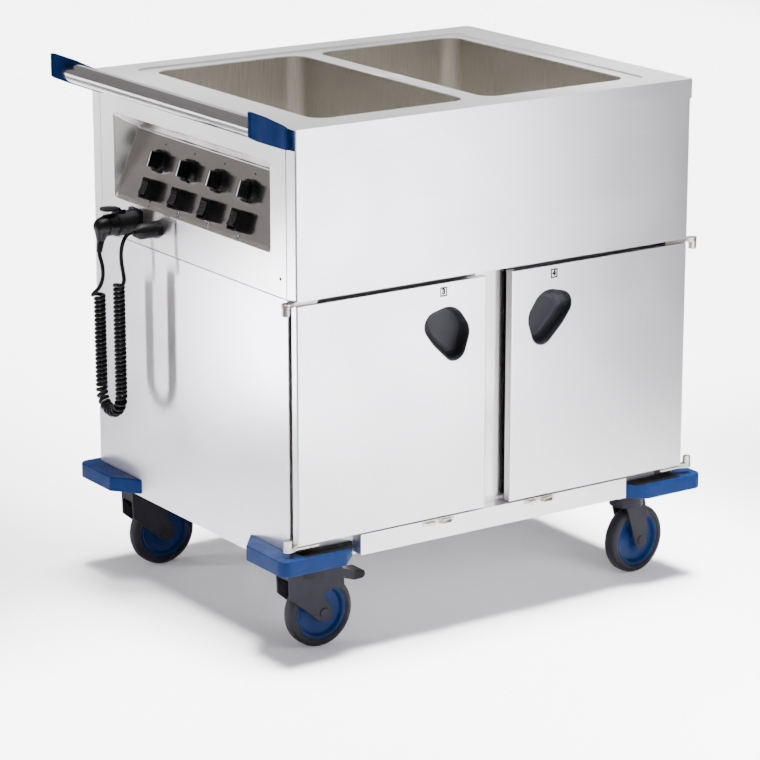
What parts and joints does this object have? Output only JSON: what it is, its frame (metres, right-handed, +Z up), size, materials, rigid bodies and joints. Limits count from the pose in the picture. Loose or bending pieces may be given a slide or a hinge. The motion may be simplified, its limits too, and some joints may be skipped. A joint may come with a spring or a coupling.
{
  "type": "heated serving trolley",
  "caption": "Stainless heated serving trolley with deep wells in the worktop, hinged cupboard doors, a control recess, push bar, curly supply cord and swivel castors.",
  "frame": {"origin": "on the floor, under the centre of the trolley's overall length and width, cord left out", "axes": "+X from the push handle end to the far end, +Y from the doors to the back, +Z up"},
  "size_m": [0.9316, 0.684, 0.9365],
  "materials": {
    "steel": "fine brushed",
    "satin_steel": "satin, deep drawn",
    "hinge_steel": "plain",
    "blue_plastic": "moulded, satin",
    "wheel": "grey tread on a blue disc",
    "fork_plastic": "glass-filled, satin",
    "grip_plastic": "satin",
    "seal_rubber": "matt",
    "cord": "satin",
    "socket_plastic": "satin",
    "knob_plastic": "gloss",
    "switch_plastic": "semi-gloss"
  },
  "bodies": {
    "cabinet": {"worktop": "steel", "well_1": "satin_steel", "well_2": "satin_steel", "front_apron": "steel", "rear_apron": "steel", "control_fascia": "steel", "end_fascia": "steel", "housing_floor": "steel", "well_heaters": "socket_plastic", "push_bar": "steel", "bracket_front": "blue_plastic", "bracket_rear": "blue_plastic", "side_panel_left": "steel", "side_panel_right": "steel", "rear_panel": "steel", "base_frame": "steel", "mullion": "steel", "liner_left": "satin_steel", "liner_right": "satin_steel", "hinge_brackets": "hinge_steel", "door_catches": "hinge_steel", "switch_collars": "switch_plastic", "thermostats": "socket_plastic", "parking_socket": "socket_plastic", "cord_gland": "socket_plastic", "plug": "socket_plastic", "cord_body": "cord", "cord_curls": "cord", "cord_plug": "cord", "bumper_1": "blue_plastic", "bumper_2": "blue_plastic", "bumper_3": "blue_plastic", "bumper_4": "blue_plastic"},
    "door_left": {"door_left": "steel", "seal_left": "seal_rubber", "grip_left": "grip_plastic", "hinge_arms_left": "hinge_steel"},
    "door_right": {"door_right": "steel", "seal_right": "seal_rubber", "grip_right": "grip_plastic", "hinge_arms_right": "hinge_steel"},
    "socket_lid": {"socket_lid": "socket_plastic"},
    "knob_1": {"knob_1": "knob_plastic"},
    "rocker_1": {"rocker_1": "switch_plastic"},
    "castor_1": {"castor_fork_1": "fork_plastic"},
    "wheel_1": {"castor_wheel_1": "wheel"},
    "knob_2": {"knob_2": "knob_plastic"},
    "rocker_2": {"rocker_2": "switch_plastic"},
    "castor_2": {"castor_fork_2": "fork_plastic"},
    "wheel_2": {"castor_wheel_2": "wheel"},
    "knob_3": {"knob_3": "knob_plastic"},
    "rocker_3": {"rocker_3": "switch_plastic"},
    "castor_3": {"castor_fork_3": "fork_plastic"},
    "wheel_3": {"castor_wheel_3": "wheel"},
    "knob_4": {"knob_4": "knob_plastic"},
    "rocker_4": {"rocker_4": "switch_plastic"},
    "castor_4": {"castor_fork_4": "fork_plastic"},
    "wheel_4": {"castor_wheel_4": "wheel"},
    "brake_1": {"brake_pedal_1": "fork_plastic"},
    "brake_2": {"brake_pedal_2": "fork_plastic"}
  },
  "joints": [
    {"name": "door_left_hinge", "type": "hinge", "parent": "cabinet", "child": "door_left", "pos_m": [-0.397, -0.322, 0.41], "axis": [0, 0, 1], "range_deg": [-270, 0]},
    {"name": "door_right_hinge", "type": "hinge", "parent": "cabinet", "child": "door_right", "pos_m": [0.441, -0.322, 0.41], "axis": [0, 0, 1], "range_deg": [0, 270]},
    {"name": "knob_1_turn", "type": "hinge", "parent": "cabinet", "child": "knob_1", "pos_m": [-0.35261, 0.14, 0.76523], "axis": [0.9433, 0, -0.332], "range_deg": [0, 270]},
    {"name": "knob_2_turn", "type": "hinge", "parent": "cabinet", "child": "knob_2", "pos_m": [-0.35261, 0.044, 0.76523], "axis": [0.9433, 0, -0.332], "range_deg": [0, 270]},
    {"name": "knob_3_turn", "type": "hinge", "parent": "cabinet", "child": "knob_3", "pos_m": [-0.35261, -0.052, 0.76523], "axis": [0.9433, 0, -0.332], "range_deg": [0, 270]},
    {"name": "knob_4_turn", "type": "hinge", "parent": "cabinet", "child": "knob_4", "pos_m": [-0.35261, -0.148, 0.76523], "axis": [0.9433, 0, -0.332], "range_deg": [0, 270]},
    {"name": "rocker_1_tilt", "type": "hinge", "parent": "cabinet", "child": "rocker_1", "pos_m": [-0.37992, 0.14, 0.72078], "axis": [0, 1, 0], "range_deg": [-14, 0]},
    {"name": "rocker_2_tilt", "type": "hinge", "parent": "cabinet", "child": "rocker_2", "pos_m": [-0.37992, 0.044, 0.72078], "axis": [0, 1, 0], "range_deg": [-14, 0]},
    {"name": "rocker_3_tilt", "type": "hinge", "parent": "cabinet", "child": "rocker_3", "pos_m": [-0.37992, -0.052, 0.72078], "axis": [0, 1, 0], "range_deg": [-14, 0]},
    {"name": "rocker_4_tilt", "type": "hinge", "parent": "cabinet", "child": "rocker_4", "pos_m": [-0.37992, -0.148, 0.72078], "axis": [0, 1, 0], "range_deg": [-14, 0]},
    {"name": "castor_1_swivel", "type": "hinge", "parent": "cabinet", "child": "castor_1", "pos_m": [-0.318, -0.258, 0.1575], "axis": [0, 0, 1], "continuous": true},
    {"name": "castor_1_roll", "type": "hinge", "parent": "castor_1", "child": "wheel_1", "pos_m": [-0.298, -0.258, 0.0625], "axis": [0, 1, 0], "continuous": true},
    {"name": "castor_1_brake", "type": "hinge", "parent": "castor_1", "child": "brake_1", "pos_m": [-0.268, -0.258, 0.129], "axis": [0, 1, 0], "range_deg": [0, 8]},
    {"name": "castor_2_swivel", "type": "hinge", "parent": "cabinet", "child": "castor_2", "pos_m": [-0.318, 0.258, 0.1575], "axis": [0, 0, 1], "continuous": true},
    {"name": "castor_2_roll", "type": "hinge", "parent": "castor_2", "child": "wheel_2", "pos_m": [-0.298, 0.258, 0.0625], "axis": [0, 1, 0], "continuous": true},
    {"name": "castor_2_brake", "type": "hinge", "parent": "castor_2", "child": "brake_2", "pos_m": [-0.268, 0.258, 0.129], "axis": [0, 1, 0], "range_deg": [0, 8]},
    {"name": "castor_3_swivel", "type": "hinge", "parent": "cabinet", "child": "castor_3", "pos_m": [0.357, -0.258, 0.1575], "axis": [0, 0, 1], "continuous": true},
    {"name": "castor_3_roll", "type": "hinge", "parent": "castor_3", "child": "wheel_3", "pos_m": [0.37689, -0.25591, 0.0625], "axis": [-0.1045, 0.9945, 0], "continuous": true},
    {"name": "castor_4_swivel", "type": "hinge", "parent": "cabinet", "child": "castor_4", "pos_m": [0.357, 0.258, 0.1575], "axis": [0, 0, 1], "continuous": true},
    {"name": "castor_4_roll", "type": "hinge", "parent": "castor_4", "child": "wheel_4", "pos_m": [0.377, 0.258, 0.0625], "axis": [0, 1, 0], "continuous": true},
    {"name": "socket_lid_hinge", "type": "hinge", "parent": "cabinet", "child": "socket_lid", "pos_m": [-0.419, 0.181, 0.683], "axis": [0, 1, 0], "range_deg": [0, 70]}
  ]
}
